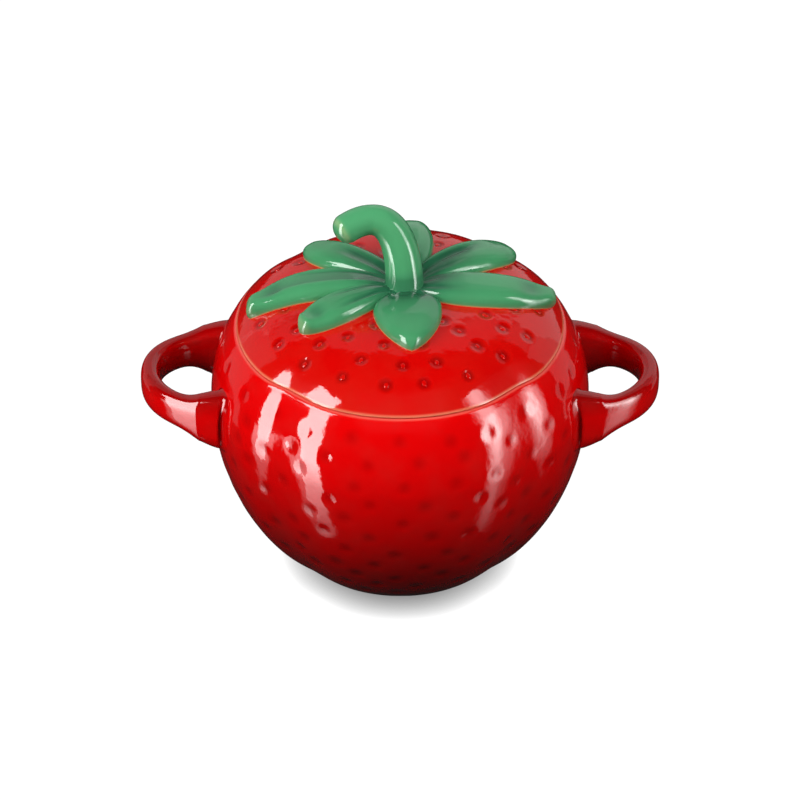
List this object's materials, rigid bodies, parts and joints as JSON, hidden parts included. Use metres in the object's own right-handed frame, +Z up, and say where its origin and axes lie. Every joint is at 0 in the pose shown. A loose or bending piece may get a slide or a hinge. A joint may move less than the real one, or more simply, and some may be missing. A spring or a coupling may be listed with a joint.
{
  "type": "mini cocotte",
  "caption": "Strawberry-shaped lidded pot in glazed stoneware with side loop handles and a lift-off lid that carries leaves and a hooked stem as its knob.",
  "frame": {"origin": "on the table, under the middle of the foot and of the overall box", "axes": "+X along the line through both handles, to the right as pictured; +Z up along the lift of the lid; the front faces -Y"},
  "size_m": [0.1422, 0.1042, 0.1119],
  "materials": {
    "red_glaze": "gloss",
    "lid_red_glaze": "gloss",
    "leaf_green_glaze": "gloss",
    "stem_green_glaze": "gloss"
  },
  "bodies": {
    "pot": {"pot_bowl": "red_glaze", "handle_left": "red_glaze", "handle_right": "red_glaze"},
    "lid": {"lid_shell": "lid_red_glaze", "stem_knob": "stem_green_glaze", "leaf_front": "leaf_green_glaze", "leaf_right": "leaf_green_glaze", "leaf_back_right": "leaf_green_glaze", "leaf_back": "leaf_green_glaze", "leaf_back_left": "leaf_green_glaze", "leaf_left": "leaf_green_glaze", "leaf_front_left": "leaf_green_glaze"}
  },
  "joints": [
    {"name": "lid_lift", "type": "slide", "parent": "pot", "child": "lid", "axis": [0, 0, 1], "range_m": [0, 0.1]}
  ]
}
